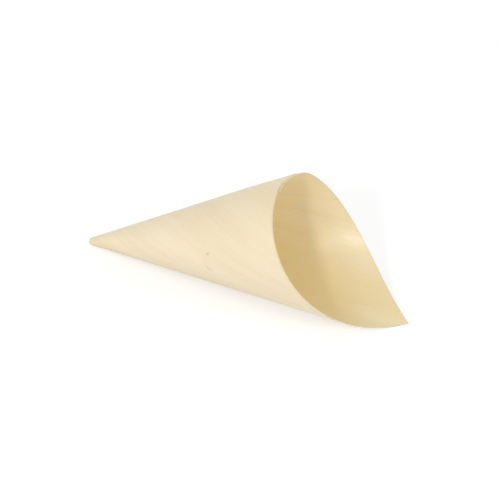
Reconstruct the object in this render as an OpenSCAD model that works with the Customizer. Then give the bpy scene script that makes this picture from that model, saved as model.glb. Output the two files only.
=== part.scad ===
// Finger food cone, rolled from one diamond of thin wood veneer.
// One corner of the blank is the closed nose, and the corner opposite is the pointed tip of the mouth.
// The blank's two side edges lap along the cone's back, where they are glued, so the wall is double there.
// The cone lies on its side as it comes to rest, with its tip on the floor.

/* [Blank] */
// Length on the floor, from the nose to the tip of the mouth
cone_l = 180; // [85:5:240]
// Thickness of the veneer
veneer_t = 0.55; // [0.4:0.05:0.8]
// Angle of the blank at its nose corner
nose_corner = 99.3; // [90:0.1:112]
// Angle of the blank at its tip corner
tip_corner = 93.5; // [84:0.5:104]

/* [Roll] */
// Turn through which the glued edges lap, in degrees
lap_turn = 36; // [6:1:60]
// Radius of the blunt nose
nose_r = 1.8; // [1.5:0.1:3]
// Wood between the nose and the bottom of the hollow
nose_wall = 1.4; // [0.8:0.1:3]
// Turn to each side of the tip over which the wall is flat where it lies on the floor
rest_turn = 6; // [3:0.5:9]

/* [Smoothness] */
// Facets round the cone outside the lap, an even number
round_facets = 108; // [64:2:144]
// Bands of facets along the cone
long_bands = 4; // [1:1:6]
// Rings of facets over the nose
nose_rings = 5; // [3:1:8]

/* [Hidden] */
veneer_colour = [0.94, 0.86, 0.71];

// The nose corner of the flat blank is spread over one turn and the lap
strip_turn = 360 + lap_turn;
half_angle = asin(nose_corner / strip_turn);

// Distances from the point where the cone's sides would meet, along the side
nose_edge = nose_r / tan(half_angle);
hollow_edge = nose_edge + nose_wall;
tip_reach = cone_l + nose_edge - nose_r;

// Places along the cone's axis, from the same point
nose_x = nose_r / sin(half_angle) - nose_r;
hollow_x = nose_x + nose_wall;

// Whole numbers of facets, with an even number round the wall so that one station is at the tip
wall_facets = 2 * round(round_facets / 2);
bands = max(1, round(long_bands));
rings = max(1, round(nose_rings));

// Stations round the strip: the first lap_facets and the last lap_facets lie over each other
facet_turn = (360 - lap_turn) / wall_facets;
lap_facets = 2 * max(1, round(lap_turn / facet_turn / 2));
one_turn = lap_facets + wall_facets;
strip_end = one_turn + lap_facets;
lap_middle = lap_facets / 2;

// Slope of the axis when the cone lies on its flat
rest_angle = atan(tan(half_angle) * cos(rest_turn));

// Turn of station j from the strip's inner edge
function turned(j) =
    j <= lap_facets ? lap_turn * j / lap_facets
    : j <= one_turn ? lap_turn + facet_turn * (j - lap_facets)
    : 360 + turned(j - one_turn);

// Turn of station j from the tip, less than zero towards the inner edge
function from_tip(j) = turned(j) - strip_turn / 2;

// Height of the strip's outer face over the plain cone: it climbs one thickness a turn
function climb(j) = veneer_t * from_tip(j) / 360;

// Distance of the blank's far edge from its nose corner, along station j
function reach(j) =
    let (flat_turn = abs(from_tip(j)) * sin(half_angle))
    tip_reach * sin(tip_corner / 2) / sin(tip_corner / 2 + flat_turn);

// A point in the cone's own frame, laid down so that the flat is level
function laid(along, out, j) =
    let (
        seat = abs(from_tip(j)) < rest_turn ? cos(rest_turn) / cos(from_tip(j)) : 1,
        y = -out * seat * sin(from_tip(j)),
        z = -out * seat * cos(from_tip(j))
    )
    [along * cos(rest_angle) - z * sin(rest_angle), y, along * sin(rest_angle) + z * cos(rest_angle)];

// A point of the wall, at distance s along station j, and lift off the plain cone
function axis_place(s, lift) = s * cos(half_angle) - lift * sin(half_angle);
function radius_at(s, lift) = s * sin(half_angle) + lift * cos(half_angle);
function wall_point(s, lift, j) = laid(axis_place(s, lift), radius_at(s, lift), j);

// A row of points that closes an end: part way round from the wall's edge to the pole on the axis
function end_point(s, lift, pole_x, part, j) =
    let (
        angle = half_angle + (90 - half_angle) * part,
        sink = (sin(angle) - sin(half_angle)) / (1 - sin(half_angle)),
        edge_x = axis_place(s, lift)
    )
    laid(edge_x - (edge_x - pole_x) * sink, radius_at(s, lift) * cos(angle) / cos(half_angle), j);

// Rows from the pole to the mouth, for a face that starts at its own edge and lift
function end_rows(edge, pole_x, first, drop) = [
    for (ring = [rings - 1 : -1 : 1]) for (j = [first : first + one_turn])
        end_point(edge, climb(j) - drop, pole_x, ring / rings, j)
];
function wall_rows(edge, first, drop) = [
    for (band = [0 : bands]) for (j = [first : first + one_turn])
        wall_point(edge + (reach(j) - edge) * band / bands, climb(j) - drop, j)
];

// Points in a row, the number of the row at the mouth and of the row before it
row = one_turn + 1;
mouth_row = rings + bands - 1;
last_band = mouth_row - 1;

outer_points = concat(
    end_rows(nose_edge, nose_x, lap_facets, 0), wall_rows(nose_edge, lap_facets, 0));
inner_points = concat(
    end_rows(hollow_edge, hollow_x, 0, veneer_t), wall_rows(hollow_edge, 0, veneer_t));
// The mouth edges of the two plies where they touch, in the lap
under_points = [for (j = [0 : lap_facets - 1]) wall_point(reach(j), climb(j), j)];
over_points = [for (j = [one_turn + 1 : strip_end]) wall_point(reach(j), climb(j) - veneer_t, j)];
poles = [laid(nose_x, 0, 0), laid(hollow_x, 0, 0)];
cone_points = concat(outer_points, inner_points, under_points, over_points, poles);

// Where each list starts among the points
inner_start = len(outer_points);
under_start = inner_start + len(inner_points);
over_start = under_start + len(under_points);
nose_pole = over_start + len(over_points);
hollow_pole = nose_pole + 1;

// Numbers of points: row r of a skin, and station j of the strip at the mouth
function outer_at(r, i) = r * row + i;
function inner_at(r, i) = inner_start + r * row + i;
function outer_rim(j) = outer_at(mouth_row, j - lap_facets);
function inner_rim(j) = inner_at(mouth_row, j);
function under_rim(j) = j < lap_facets ? under_start + j : outer_rim(j);
function over_rim(j) =
    j == one_turn ? inner_rim(j)
    : j == one_turn + lap_middle ? under_rim(lap_middle)
    : over_start + j - one_turn - 1;

function quad(a, b, c, d) = [[a, b, c], [a, c, d]];
function flat_list(lists) = [for (faces = lists) for (face = faces) face];

outer_skin = flat_list([
    for (r = [0 : last_band]) for (i = [0 : one_turn - 1])
        quad(outer_at(r, i), outer_at(r, i + 1), outer_at(r + 1, i + 1), outer_at(r + 1, i))
]);
inner_skin = flat_list([
    for (r = [0 : last_band]) for (i = [0 : one_turn - 1])
        quad(inner_at(r, i), inner_at(r + 1, i), inner_at(r + 1, i + 1), inner_at(r, i + 1))
]);

// The strip's two side edges: low steps along the back, one outside and one in the hollow
outer_step = flat_list([
    for (r = [0 : last_band - 1])
        quad(outer_at(r, one_turn), outer_at(r, 0), outer_at(r + 1, 0), outer_at(r + 1, one_turn))
]);
inner_step = flat_list([
    for (r = [0 : last_band - 1])
        quad(inner_at(r, one_turn), inner_at(r + 1, one_turn), inner_at(r + 1, 0), inner_at(r, 0))
]);
outer_step_end = let (low = outer_at(last_band, 0), high = outer_at(last_band, one_turn)) [
    [high, low, outer_rim(lap_facets)],
    [high, outer_rim(lap_facets), over_rim(strip_end)],
    [high, over_rim(strip_end), outer_rim(strip_end)]
];
inner_step_end = let (low = inner_at(last_band, 0), high = inner_at(last_band, one_turn)) [
    [low, high, inner_rim(one_turn)],
    [low, inner_rim(one_turn), under_rim(0)],
    [low, under_rim(0), inner_rim(0)]
];

// The cut edge at the mouth: the single wall, then each ply of the lap
single_rim = flat_list([
    for (j = [lap_facets : one_turn - 1])
        quad(outer_rim(j), outer_rim(j + 1), inner_rim(j + 1), inner_rim(j))
]);
under_ply_rim = flat_list([
    for (j = [0 : lap_facets - 1])
        quad(under_rim(j), under_rim(j + 1), inner_rim(j + 1), inner_rim(j))
]);
over_ply_rim = flat_list([
    for (j = [one_turn : strip_end - 1])
        quad(outer_rim(j), outer_rim(j + 1), over_rim(j + 1), over_rim(j))
]);

// Where one ply runs past the other at the mouth, its face shows as a narrow ledge
ledges = [
    for (j = [0 : lap_facets - 1])
        let (
            a = over_rim(one_turn + j),
            b = over_rim(one_turn + j + 1),
            c = under_rim(j + 1),
            d = under_rim(j)
        )
        for (face = j == lap_middle - 1 ? [[a, b, d]] : j == lap_middle ? [[a, b, c]] : quad(a, b, c, d))
            face
];

// The closed nose and the bottom of the hollow, each drawn in to its pole
nose_cap = [for (i = [0 : one_turn]) [nose_pole, outer_at(0, (i + 1) % row), outer_at(0, i)]];
hollow_cap = [for (i = [0 : one_turn]) [hollow_pole, inner_at(0, i), inner_at(0, (i + 1) % row)]];

cone_faces = concat(outer_skin, inner_skin, outer_step, inner_step, outer_step_end, inner_step_end,
    single_rim, under_ply_rim, over_ply_rim, ledges, nose_cap, hollow_cap);

// The origin is the middle of the floor under the cone
function middle(values) = (min(values) + max(values)) / 2;
floor_middle = [
    middle([for (p = cone_points) p[0]]),
    middle([for (p = cone_points) p[1]]),
    min([for (p = cone_points) p[2]])
];

module veneer_cone() {
    color(veneer_colour)
        translate(-floor_middle)
            polyhedron(points = cone_points, faces = cone_faces, convexity = 6);
}

veneer_cone();
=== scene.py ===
from math import radians, sin, cos, tan, asin, atan, pi

import bmesh
import bpy
import numpy as np
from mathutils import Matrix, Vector


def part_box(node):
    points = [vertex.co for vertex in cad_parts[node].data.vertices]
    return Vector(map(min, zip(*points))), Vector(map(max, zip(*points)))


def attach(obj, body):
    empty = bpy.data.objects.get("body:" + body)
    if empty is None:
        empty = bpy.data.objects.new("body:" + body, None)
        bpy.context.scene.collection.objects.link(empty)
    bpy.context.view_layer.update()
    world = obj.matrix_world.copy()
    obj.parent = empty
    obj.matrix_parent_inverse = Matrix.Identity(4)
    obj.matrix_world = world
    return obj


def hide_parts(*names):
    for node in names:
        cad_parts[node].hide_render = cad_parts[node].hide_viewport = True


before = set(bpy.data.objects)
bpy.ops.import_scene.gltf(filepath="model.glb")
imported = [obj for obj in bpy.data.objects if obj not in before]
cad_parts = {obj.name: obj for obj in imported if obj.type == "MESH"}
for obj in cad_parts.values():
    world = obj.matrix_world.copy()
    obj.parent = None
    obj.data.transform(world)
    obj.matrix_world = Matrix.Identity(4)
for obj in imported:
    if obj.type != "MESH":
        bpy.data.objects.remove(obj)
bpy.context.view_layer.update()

# Lengths are metres and turns are degrees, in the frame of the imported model.
# The cone is one diamond of veneer rolled round its nose corner, and lies with its tip line on the floor.
sheet = dict(
    node="veneer_cone",
    noseCorner=99.3,      # angles of the blank at its nose and its tip
    tipCorner=93.5,
    lap=36.0,             # turn through which the glued edges lap
    restTurn=6.0,         # turn to each side of the tip over which the wall is flat on the floor
    ply=0.00055,
    noseRadius=0.0018,
    noseWall=0.0014,
    lapColumns=44,
    wallColumns=400,
    longRows=64,
    capRows=12,
    rimRows=4,
    # how far the wall swells and dips, how many times round, and how the finer waves turn towards the mouth
    wave=dict(height=0.00012, rounds=3, start=0.7, finerRounds=5, finerShare=0.6, twist=4),
    # turn from the top, distance from the nose, and how far each dent spreads and lifts the wall
    dents=[
        dict(turn=13, span=15, place=0.136, length=0.018, lift=-0.0008),
        dict(turn=42, span=16, place=0.136, length=0.030, lift=0.0005),
    ],
    rimRound=0.3,         # share of the ply's edge that is worn round
    sharpAngle=35,
    mergeDistance=2e-7,
    leastEdge=1e-8,
)

low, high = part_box(sheet["node"])
boxLow, boxHigh = np.array(low), np.array(high)
coneLength = boxHigh[0] - boxLow[0]

halfTip = radians(sheet["tipCorner"] / 2)
stripTurn = 360 + sheet["lap"]
halfAngle = asin(sheet["noseCorner"] / stripTurn)
restAngle = atan(tan(halfAngle) * cos(radians(sheet["restTurn"])))
noseEdge = sheet["noseRadius"] / tan(halfAngle)
hollowEdge = noseEdge + sheet["noseWall"]
tipReach = coneLength + noseEdge - sheet["noseRadius"]
noseX = sheet["noseRadius"] / sin(halfAngle) - sheet["noseRadius"]
hollowX = noseX + sheet["noseWall"]
apexX = boxLow[0] - (noseEdge - sheet["noseRadius"])


def fromTip(turned):
    # turn from the tip of a place on the strip, less than zero towards the inner side edge
    return turned - stripTurn / 2


def climb(turned):
    # the outer face rises over the plain cone by one ply in each turn, so that the plies touch in the lap
    return sheet["ply"] * fromTip(turned) / 360


def reach(turned):
    # the blank's far edge by the law of sines: its distance from the nose corner, at an angle from the tip line
    flatTurn = np.abs(fromTip(turned)) * sin(halfAngle)
    return tipReach * sin(halfTip) / np.sin(halfTip + np.radians(flatTurn))


def laid(along, out, turned):
    # a point at a distance along the axis and out from it, with the cone tilted until its lowest side is level
    angle = np.radians(fromTip(turned))
    y = -out * np.sin(angle)
    z = -out * np.cos(angle)
    x = along * cos(restAngle) - z * sin(restAngle) + apexX
    return np.stack([x, y, np.maximum(along * sin(restAngle) + z * cos(restAngle), 0.0)], axis=-1)


def swell(turned, distance):
    # slow waves round the cone, nothing at the nose and most at the mouth,
    # and a bell curve both ways for each dent
    wave = sheet["wave"]
    angle, share = np.radians(fromTip(turned)), distance / tipReach
    slow = np.cos(wave["rounds"] * angle + wave["start"])
    finer = wave["finerShare"] * np.cos(wave["finerRounds"] * angle + wave["twist"] * share)
    lift = wave["height"] * share ** 2 * (slow + finer)
    for dent in sheet["dents"]:
        across = ((turned - sheet["lap"] / 2 - dent["turn"] + 180) % 360 - 180) / dent["span"]
        down = (distance - dent["place"]) / dent["length"]
        lift = lift + dent["lift"] * np.exp(-across ** 2 - down ** 2)
    return lift


def wallPoint(distance, lift, turned):
    # a point of the wall: distance along the side from the point of the cone, and lift off the plain cone
    lift = lift + swell(turned, distance)
    along = distance * cos(halfAngle) - lift * sin(halfAngle)
    return laid(along, distance * sin(halfAngle) + lift * cos(halfAngle), turned)


def blankPlace(distance, turned, first=0.0):
    # where a point of the wall was on the flat blank: x along the tip line and y across it, from the nose
    # corner, then how far it is from the mouth, and from the nearest side edge of a face that starts at first
    angle = np.radians(fromTip(turned) * sin(halfAngle))
    sideTurn = np.minimum(np.abs(turned - first), np.abs(first + 360 - turned))
    fromSide = np.radians(sideTurn) * distance * sin(halfAngle)
    fromMouth = reach(turned) - distance
    return np.stack([distance * np.cos(angle), distance * np.sin(angle), fromMouth, fromSide], axis=-1)


def skin(turned, share, edge, drop, first):
    # face of the wall between its nose edge and the mouth, share 0 to 1 along each side
    distance = edge + (reach(turned) - edge) * share
    return wallPoint(distance, climb(turned) - drop, turned), blankPlace(distance, turned, first)


def cap(turned, share, edge, drop, first, poleX):
    # round end: from the wall's edge at share 0, on a quarter circle in to the pole on the axis at share 1
    angle = halfAngle + (pi / 2 - halfAngle) * share
    lift = climb(turned) - drop + swell(turned, edge)
    edgeAlong = edge * cos(halfAngle) - lift * sin(halfAngle)
    edgeOut = edge * sin(halfAngle) + lift * cos(halfAngle)
    sink = (np.sin(angle) - sin(halfAngle)) / (1 - sin(halfAngle))
    along = edgeAlong - (edgeAlong - poleX) * sink
    out = edgeOut * np.cos(angle) / cos(halfAngle)
    return laid(along, out, turned), blankPlace(edge * (1 - share) + 0 * turned, turned, first)


def cutEdge(turned, share, fromDrop, toDrop):
    # edge of a ply at the mouth, share 0 on one face and 1 on the other, bulging a little in the middle
    drop = fromDrop + (toDrop - fromDrop) * share
    bulge = sheet["rimRound"] * sheet["ply"] * (np.sin(pi * share) - 0.5)
    distance = reach(turned) + np.where((share > 0) & (share < 1), bulge * 0.5, 0.0)
    return wallPoint(distance, climb(turned) - drop, turned), blankPlace(distance, turned)


def patch(shape, us, vs):
    # a grid of points by a function of two parameters, with its quads and their places on the blank
    u, v = np.meshgrid(us, vs, indexing="ij")
    points, flat = shape(u, v)
    rows, columns = u.shape
    index = np.arange(rows * columns).reshape(rows, columns)
    quads = np.stack([index[:-1, :-1], index[1:, :-1], index[1:, 1:], index[:-1, 1:]], axis=-1).reshape(-1, 4)
    return points.reshape(-1, 3), flat.reshape(-1, 4), quads


def join(patches):
    # puts the patches one after another, with their point numbers moved on
    starts = np.cumsum([0] + [len(p[0]) for p in patches[:-1]])
    return (
        np.concatenate([p[0] for p in patches]),
        np.concatenate([p[1] for p in patches]),
        np.concatenate([p[2] + start for p, start in zip(patches, starts)]),
    )


def makeCone():
    ply, lap = sheet["ply"], sheet["lap"]
    lapTurns = np.linspace(0, lap, sheet["lapColumns"] + 1)
    wallTurns = np.linspace(lap, 360, sheet["wallColumns"] + 1)
    outerTurns = np.concatenate([wallTurns, 360 + lapTurns[1:]])
    innerTurns = np.concatenate([lapTurns, wallTurns[1:]])
    shares = np.linspace(0, 1, sheet["longRows"] + 1)
    capShares = np.linspace(0, 1, sheet["capRows"] + 1)
    edgeShares = np.linspace(0, 1, sheet["rimRows"] + 1)

    def outerFace(t, s):
        return skin(t, s, noseEdge, 0, lap)

    def innerFace(t, s):
        return skin(t, s, hollowEdge, ply, 0)

    def outerCap(t, s):
        return cap(t, s, noseEdge, 0, lap, noseX)

    def innerCap(t, s):
        return cap(t, s, hollowEdge, ply, 0, hollowX)

    def step(face, lowTurn, highTurn):
        # a side edge of the strip: straight across from the face under it to the face on top
        def shape(h, s):
            under, flat = face(lowTurn + 0 * s, s)
            over, _ = face(highTurn + 0 * s, s)
            return under + (over - under) * h[..., None], flat
        return shape

    def lapCorner(face, lowTurn, highTurn, ownTurn):
        # the small triangle where a side edge runs past the other ply at the mouth
        def shape(h, k):
            straight, flat = step(face, lowTurn, highTurn)(h, 1 + 0 * k)
            cut, _ = cutEdge(ownTurn + 0 * k, 1 - h, 0, ply)
            return straight + (cut - straight) * k[..., None], flat
        return shape

    def rim(t, s):
        return cutEdge(t, s, 0, ply)

    def ledge(t, s):
        # strip between the two plies' ends in the lap, on the surface where they touch
        distance = reach(t + 360) * (1 - s) + reach(t) * s
        return wallPoint(distance, climb(t), t), blankPlace(distance, t)

    ends = np.array([0.0, 1.0])
    faces = [
        patch(outerFace, outerTurns, shares),
        patch(outerCap, outerTurns, capShares),
        patch(innerFace, innerTurns, shares),
        patch(innerCap, innerTurns, capShares),
        patch(ledge, lapTurns, ends),
        patch(step(outerFace, lap, 360 + lap), edgeShares, shares),
        patch(step(outerCap, lap, 360 + lap), edgeShares, capShares),
        patch(step(innerFace, 0, 360), edgeShares, shares),
        patch(step(innerCap, 0, 360), edgeShares, capShares),
        patch(lapCorner(outerFace, lap, 360 + lap, 360 + lap), edgeShares, ends),
        patch(lapCorner(innerFace, 0, 360, 0), edgeShares, ends),
        patch(rim, wallTurns, edgeShares),
        patch(rim, lapTurns, edgeShares),
        patch(rim, 360 + lapTurns, edgeShares),
    ]
    finishes = [0, 0, 1, 1, 1, 2, 2, 2, 2, 2, 2, 2, 2, 2]
    points, flat, quads = join(faces)

    mesh = bpy.data.meshes.new("veneerCone")
    mesh.from_pydata(points.tolist(), [], quads.tolist())
    uv = mesh.uv_layers.new(name="blank")
    loopPoints = np.empty(len(mesh.loops), dtype=np.int32)
    mesh.loops.foreach_get("vertex_index", loopPoints)
    uv.data.foreach_set("uv", flat[loopPoints, :2].ravel())
    edges = mesh.attributes.new("edges", "FLOAT_VECTOR", "POINT")
    edges.data.foreach_set("vector", np.pad(flat[:, 2:], ((0, 0), (0, 1))).ravel())
    slots = np.concatenate([np.full(len(f[2]), finish) for f, finish in zip(faces, finishes)])
    mesh.polygons.foreach_set("material_index", slots.astype(np.int32))

    work = bmesh.new()
    work.from_mesh(mesh)
    bmesh.ops.remove_doubles(work, verts=work.verts, dist=sheet["mergeDistance"])
    bmesh.ops.dissolve_degenerate(work, edges=work.edges, dist=sheet["leastEdge"])
    bmesh.ops.recalc_face_normals(work, faces=work.faces)
    openEdges = sum(1 for e in work.edges if len(e.link_faces) != 2)
    print("cone volume cm3", round(work.calc_volume(signed=True) * 1e6, 3), "open edges", openEdges)
    work.to_mesh(mesh)
    work.free()
    mesh.shade_smooth()
    mesh.set_sharp_from_angle(angle=radians(sheet["sharpAngle"]))
    cone = bpy.data.objects.new("veneer_sheet", mesh)
    bpy.context.scene.collection.objects.link(cone)
    return cone


cone = makeCone()
print("cone faces", len(cone.data.polygons))


class Signal:
    # one shader value in an expression: arithmetic on it adds Math nodes to its material

    def __init__(self, tree, socket=None):
        self.tree, self.socket = tree, socket

    def add(self, kind, settings=None, inputs=None, output=0):
        # any node: its settings first, then the values or links of its sockets
        node = self.tree.nodes.new(kind)
        for name, value in (settings or {}).items():
            if name == "stops":
                for place, tone in value[2:]:
                    node.color_ramp.elements.new(place)
                for element, (place, tone) in zip(node.color_ramp.elements, sorted(value)):
                    element.position, element.color = place, tone
            else:
                setattr(node, name, value)
        for name, value in (inputs or {}).items():
            if isinstance(value, Signal):
                self.tree.links.new(value.socket, node.inputs[name])
            else:
                node.inputs[name].default_value = value
        return Signal(self.tree, node.outputs[output])

    def math(self, operation, *values, clamp=False):
        return self.add("ShaderNodeMath", {"operation": operation, "use_clamp": clamp}, dict(enumerate(values)))

    def __add__(self, other):
        return self.math("ADD", self, other)

    def __sub__(self, other):
        return self.math("SUBTRACT", self, other)

    def __rsub__(self, other):
        return self.math("SUBTRACT", other, self)

    def __mul__(self, other):
        return self.math("MULTIPLY", self, other)

    def __truediv__(self, other):
        return self.math("DIVIDE", self, other)

    def __pow__(self, other):
        return self.math("POWER", self, other)

    __radd__ = __add__
    __rmul__ = __mul__

    def bell(self):
        # 1 where this value is 0, falling to 0 on both sides: e to the power of minus its square
        return self.math("EXPONENT", self * self * -1)

    def between(self, start, end, outStart=0.0, outEnd=1.0):
        # maps a range of this value onto another, smoothly and held at the ends
        return self.add("ShaderNodeMapRange", {"interpolation_type": "SMOOTHSTEP"}, {
            "Value": self, "From Min": start, "From Max": end, "To Min": outStart, "To Max": outEnd})

    def mix(self, first, second):
        # colour mix with this value as the factor
        return self.add("ShaderNodeMix", {"data_type": "RGBA"}, {0: self, 6: first, 7: second}, output=2)


# Along and across are repeats per metre on the blank, whose grain runs from its nose corner to its tip.
veneer = dict(
    outside=dict(
        pale=(0.905, 0.807, 0.590, 1.0), warm=(0.820, 0.673, 0.443, 1.0),
        # painted shade: a warmer, darker tone on the upper wall of the outside, away from the tip line that lies
        # on the floor
        bands=[dict(by="middle", start=0.055, end=0.085, share=0.30, colour=(0.870, 0.700, 0.360, 1.0))],
    ),
    inside=dict(
        pale=(0.897, 0.804, 0.592, 1.0), warm=(0.812, 0.679, 0.418, 1.0),
        bands=[
            # painted bounce light and shade: a warmer, deeper colour along the bottom of the hollow, over the tip
            # line
            dict(by="middle", start=0.045, end=0.008, share=0.45, colour=(0.860, 0.660, 0.270, 1.0)),
            # painted shade and bounce light: a warmer, deeper colour further into the hollow, away from the mouth
            dict(by="mouth", start=0.005, end=0.060, share=0.40, colour=(0.990, 0.820, 0.425, 1.0)),
            # painted shade: darker towards the bottom of the hollow near the nose
            dict(by="nose", start=0.030, end=0.009, share=0.40, colour=(0.450, 0.320, 0.170, 1.0)),
            # painted shade: near black at the very bottom of the hollow
            dict(by="nose", start=0.010, end=0.007, share=0.88, colour=(0.180, 0.120, 0.060, 1.0)),
        ],
    ),
    brown=(0.42, 0.28, 0.13, 1.0),      # what every dark mark is mixed towards
    grain=dict(
        bands=dict(along=6, across=110, detail=2, seed=3.1, share=0.30, rough=0.0, height=0.0),
        streaks=dict(along=20, across=620, detail=3, seed=7.7, share=0.18, rough=0.08, height=0.00001),
        fibres=dict(along=75, across=4300, detail=2, seed=1.9, share=0.25, rough=0.06, height=0.00001),
        drift=dict(along=22, across=26, detail=1, seed=5.3, share=0.18, rough=0.0, height=0.0),
    ),
    grainRange=(0.25, 0.75),            # values of the noise that give the palest and the warmest wood
    pores=dict(along=260, across=5200, detail=1, seed=9.4, least=0.68, most=0.76, depth=0.24),
    waves=dict(along=14, across=95, detail=1, seed=2.6, height=0.00010),
    roughness=0.29,
    pinch=dict(start=0.018, end=0.0100, rough=0.65),    # the veneer is dull where it is pinched at its nose
    markHeight=0.00002,                 # how far a full mark is sunk
    wear=dict(width=0.0007, mouth=0.22, side=0.18),     # the veneer is darker in from its cut edges
)

# Marks that the photo shows, by their places on the blank: a pin knot, a short crease under it,
# and two specks inside.
marks = dict(
    knot=dict(place=(0.0846, 0.0404), parts=(0.0065, 0.0022), parting=0.75),    # the grain parts round it
    outside=dict(
        spots=[
            dict(place=(0.0846, 0.0404), radius=(0.00045, 0.00045), depth=0.85),
            dict(place=(0.0852, 0.0355), radius=(0.0046, 0.0036), depth=0.035),
        ],
        strokes=[
            dict(start=(0.0843, 0.0404), end=(0.0854, 0.0418), width=0.00028, depth=0.40),
            dict(start=(0.0843, 0.0404), end=(0.0857, 0.0398), width=0.00028, depth=0.40),
            dict(start=(0.0838, 0.0333), end=(0.0882, 0.0317), width=0.00058, depth=0.34),
            dict(start=(0.0822, 0.0355), end=(0.0839, 0.0333), width=0.00042, depth=0.15),
            dict(start=(0.0835, 0.0383), end=(0.0823, 0.0354), width=0.00050, depth=0.07),
        ],
    ),
    inside=dict(
        spots=[
            dict(place=(0.1554, -0.0180), radius=(0.0004, 0.0004), depth=0.16),
            dict(place=(0.1248, -0.0480), radius=(0.0005, 0.0005), depth=0.16),
        ],
        strokes=[],
    ),
)


def newMaterial(name):
    material = bpy.data.materials.new(name)
    material.use_nodes = True
    return material, material.node_tree, material.node_tree.nodes["Principled BSDF"]


def grainNoise(along, across, look):
    # noise drawn out along the blank: its place times the repeats per metre each way
    place = along.add("ShaderNodeCombineXYZ", {}, {
        0: along * look["along"] + look["seed"], 1: across * look["across"], 2: look["seed"]})
    return along.add("ShaderNodeTexNoise", {}, {
        "Vector": place, "Scale": 1.0, "Detail": float(look["detail"]), "Roughness": 0.5})


def spot(along, across, look, size="radius"):
    # 1 in the middle of a round mark and 0 well outside it: the bell curve of the distance over the radius
    x, y = look["place"]
    wide, high = look[size]
    return ((along - x) / wide).bell() * ((across - y) / high).bell()


def stroke(along, across, look):
    # 1 on a short line and 0 beside it: a bell curve across it, and a flatter one along it
    (x0, y0), (x1, y1) = look["start"], look["end"]
    length = ((x1 - x0) ** 2 + (y1 - y0) ** 2) ** 0.5
    dx, dy = (x1 - x0) / length, (y1 - y0) / length
    offX, offY = along - (x0 + x1) / 2, across - (y0 + y1) / 2
    down = (offX * dx + offY * dy) / (length / 2)
    side = (offX * dy - offY * dx) / look["width"]
    return (down * down).bell() * side.bell()


def sheetPlace(start):
    # along and across the blank, then the distances from the mouth and from the nearest side edge
    blank = start.add("ShaderNodeUVMap", {"uv_map": "blank"})
    edges = start.add("ShaderNodeAttribute", {"attribute_name": "edges"}, output=1)
    return [start.add("ShaderNodeSeparateXYZ", {}, {"Vector": source}, output=part)
            for source in (blank, edges) for part in (0, 1)]


def darkMarks(along, across, flow, fromMouth, fromSide, own):
    # how dark the veneer is at its pores, its worn edges and its own marks, whichever is darkest
    pores, wear = veneer["pores"], veneer["wear"]
    dark = grainNoise(along, flow, pores).between(pores["least"], pores["most"], 0.0, pores["depth"])
    each = [
        fromMouth.between(0.0, wear["width"], wear["mouth"], 0.0),
        fromSide.between(0.0, wear["width"], wear["side"], 0.0),
    ]
    each += [spot(along, across, look) * look["depth"] for look in own["spots"]]
    each += [stroke(along, across, look) * look["depth"] for look in own["strokes"]]
    for mark in each:
        dark = dark.math("MAXIMUM", dark, mark)
    return dark


def veneerMaterial(name, side):
    # bare veneer: bands, streaks and fibres run along the blank and part round the pin knot
    material, tree, shader = newMaterial(name)
    start = Signal(tree)
    tones = veneer[side]
    along, across, fromMouth, fromSide = sheetPlace(start)
    flow = across
    if side == "outside":
        knot = marks["knot"]
        flow = across - (across - knot["place"][1]) * spot(along, across, knot, "parts") * knot["parting"]
    layers = {key: grainNoise(along, flow, look).between(*veneer["grainRange"])
              for key, look in veneer["grain"].items()}
    tone, rough, height = [
        sum(layers[key] * look[part] for key, look in veneer["grain"].items() if look[part])
        for part in ("share", "rough", "height")]

    colour = tone.mix(tones["pale"], tones["warm"])
    fromNose = (along * along + across * across) ** 0.5
    distances = dict(middle=across.math("ABSOLUTE", across), mouth=fromMouth, nose=fromNose)
    # each of these bands mixes in painted light and shade: warmth and darkness put where light falls on the cone
    # and in its hollow
    for paintedLightBand in tones["bands"]:
        share = distances[paintedLightBand["by"]].between(paintedLightBand["start"], paintedLightBand["end"], 0.0, paintedLightBand["share"])
        colour = share.mix(colour, paintedLightBand["colour"])
    dark = darkMarks(along, across, flow, fromMouth, fromSide, marks[side])
    colour = dark.mix(colour, veneer["brown"])
    tree.links.new(colour.socket, shader.inputs["Base Color"])

    pinch = veneer["pinch"]
    rough = rough + veneer["roughness"] + fromNose.between(pinch["start"], pinch["end"], 0.0, pinch["rough"])
    tree.links.new(rough.socket, shader.inputs["Roughness"])
    waves = grainNoise(along, across, veneer["waves"])
    height = height - dark * veneer["markHeight"] + waves * veneer["waves"]["height"]
    bump = start.add("ShaderNodeBump", {}, {"Height": height, "Distance": 1.0, "Strength": 1.0})
    tree.links.new(bump.socket, shader.inputs["Normal"])
    return material


# The cut edge, toasted a little by the knife, with the ends of the fibres as a fine speckle.
cut = dict(
    pale=(0.74, 0.64, 0.45, 1.0),
    toasted=(0.56, 0.45, 0.29, 1.0),
    repeats=2600.0,
    speckleRange=(0.3, 0.7),
    speckleHeight=0.00002,
    roughness=0.75,
)


def cutMaterial():
    material, tree, shader = newMaterial("cut_veneer_edge")
    start = Signal(tree)
    place = start.add("ShaderNodeTexCoord", output=3)
    speckle = start.add("ShaderNodeTexNoise", {}, {"Vector": place, "Scale": cut["repeats"], "Detail": 2.0})
    colour = speckle.between(*cut["speckleRange"]).mix(cut["pale"], cut["toasted"])
    tree.links.new(colour.socket, shader.inputs["Base Color"])
    shader.inputs["Roughness"].default_value = cut["roughness"]
    height = speckle * cut["speckleHeight"]
    bump = start.add("ShaderNodeBump", {}, {"Height": height, "Distance": 1.0, "Strength": 1.0})
    tree.links.new(bump.socket, shader.inputs["Normal"])
    return material


cone.data.materials.append(veneerMaterial("veneer_outside", "outside"))
cone.data.materials.append(veneerMaterial("veneer_inside", "inside"))
cone.data.materials.append(cutMaterial())
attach(cone, "root")
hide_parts(sheet["node"])
print("veneer done")

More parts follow.
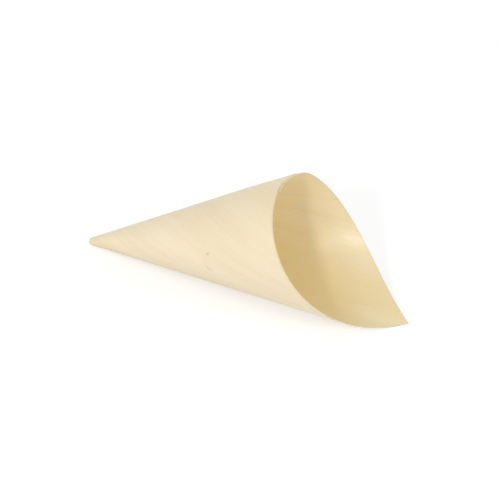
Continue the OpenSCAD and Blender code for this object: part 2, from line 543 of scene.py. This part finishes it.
studio = dict(
    floorSize=4.0,
    floorDrop=0.0001,     # keeps the floor just clear of the cone
    floorTone=(0.80, 0.80, 0.80, 1.0),
    floorShade=0.85,      # where the floor is seen: the share of its own shading that shows, and what is added
    floorGlow=0.468,      # to that, so that it is white away from the shadow
    white=(1.0, 1.0, 1.0, 1.0),
    worldStrength=0.61,
    lampDistance=1.5,
    lampAim=0.02,         # height above the floor that the lamps point at
    lamps=[
        dict(name="key", azimuth=90, elevation=10, size=0.3, power=10.0),
        dict(name="front", azimuth=3.5, elevation=30, size=0.16, power=4.0),
        dict(name="low", azimuth=-30, elevation=14, size=0.5, power=3.0),
        dict(name="fill", azimuth=-4, elevation=22, size=0.3, power=2.1),
        dict(name="back", azimuth=205, elevation=30, size=0.6, power=1.6),
    ],
)


def seenRay(start):
    # 1 for rays that show a thing to the camera, straight or in a gloss, and 0 for rays that only light it
    straight, gloss, through = [
        start.add("ShaderNodeLightPath", output=f"Is {kind} Ray") for kind in ("Camera", "Glossy", "Transmission")]
    return start.math("MAXIMUM", start.math("MAXIMUM", straight, gloss), through)


def makeFloor():
    mesh = bpy.data.meshes.new("floor")
    half = studio["floorSize"] / 2
    corners = [(-half, -half, 0), (half, -half, 0), (half, half, 0), (-half, half, 0)]
    mesh.from_pydata(corners, [], [(0, 1, 2, 3)])
    floor = bpy.data.objects.new("floor", mesh)
    floor.location.z = -studio["floorDrop"]
    bpy.context.scene.collection.objects.link(floor)
    material, tree, shader = newMaterial("floor")
    shader.inputs["Base Color"].default_value = studio["floorTone"]
    shader.inputs["Roughness"].default_value = 1.0
    shader.inputs["Specular IOR Level"].default_value = 0.0
    start = Signal(tree)
    plain = Signal(tree, shader.outputs[0])
    glow = start.add("ShaderNodeEmission", {}, {"Color": studio["white"], "Strength": studio["floorGlow"]})
    black = start.add("ShaderNodeBsdfTransparent", {}, {"Color": (0.0, 0.0, 0.0, 1.0)})
    shade = start.add("ShaderNodeMixShader", {}, {0: studio["floorShade"], 1: black, 2: plain})
    bright = start.add("ShaderNodeAddShader", {}, {0: shade, 1: glow})
    shown = start.add("ShaderNodeMixShader", {}, {0: seenRay(start), 1: plain, 2: bright})
    tree.links.new(shown.socket, tree.nodes["Material Output"].inputs[0])
    mesh.materials.append(material)


def makeWorld():
    world = bpy.data.worlds.new("studio")
    bpy.context.scene.world = world
    world.use_nodes = True
    tree = world.node_tree
    start = Signal(tree)
    background = tree.nodes["Background"]
    background.inputs[0].default_value = studio["white"]
    background.inputs[1].default_value = studio["worldStrength"]
    ambient = Signal(tree, background.outputs[0])
    backdrop = start.add("ShaderNodeBackground", {}, {"Color": studio["white"], "Strength": 1.0})
    shown = start.add("ShaderNodeMixShader", {}, {0: seenRay(start), 1: ambient, 2: backdrop})
    tree.links.new(shown.socket, tree.nodes["World Output"].inputs[0])


def awayFrom(azimuth, elevation):
    # unit vector towards a lamp or the camera: azimuth 0 is in front of the cone and 90 is beyond its tip
    a, e = radians(azimuth), radians(elevation)
    return Vector((sin(a) * cos(e), -cos(a) * cos(e), sin(e)))


def makeLamp(look):
    # a square lamp that points at the cone
    lamp = bpy.data.lights.new(look["name"], "AREA")
    lamp.size, lamp.energy = look["size"], look["power"]
    light = bpy.data.objects.new(look["name"], lamp)
    away = awayFrom(look["azimuth"], look["elevation"])
    light.location = away * studio["lampDistance"] + Vector((0, 0, studio["lampAim"]))
    light.rotation_euler = away.to_track_quat("Z", "Y").to_euler()
    bpy.context.scene.collection.objects.link(light)


makeFloor()
makeWorld()
for look in studio["lamps"]:
    makeLamp(look)
print("studio done")

photo = dict(azimuth=25.19, elevation=31.14, distance=0.8607, aim=(0.00523, -0.00312, 0.02224),
             lens=123.67, sensor=36.0)


def makeCamera():
    data = bpy.data.cameras.new("camera")
    data.sensor_width, data.lens = photo["sensor"], photo["lens"]
    camera = bpy.data.objects.new("camera", data)
    away = awayFrom(photo["azimuth"], photo["elevation"])
    camera.location = Vector(photo["aim"]) + away * photo["distance"]
    camera.rotation_euler = away.to_track_quat("Z", "Y").to_euler()
    bpy.context.scene.collection.objects.link(camera)
    bpy.context.scene.camera = camera


makeCamera()
bpy.context.scene.view_settings.view_transform = "Standard"
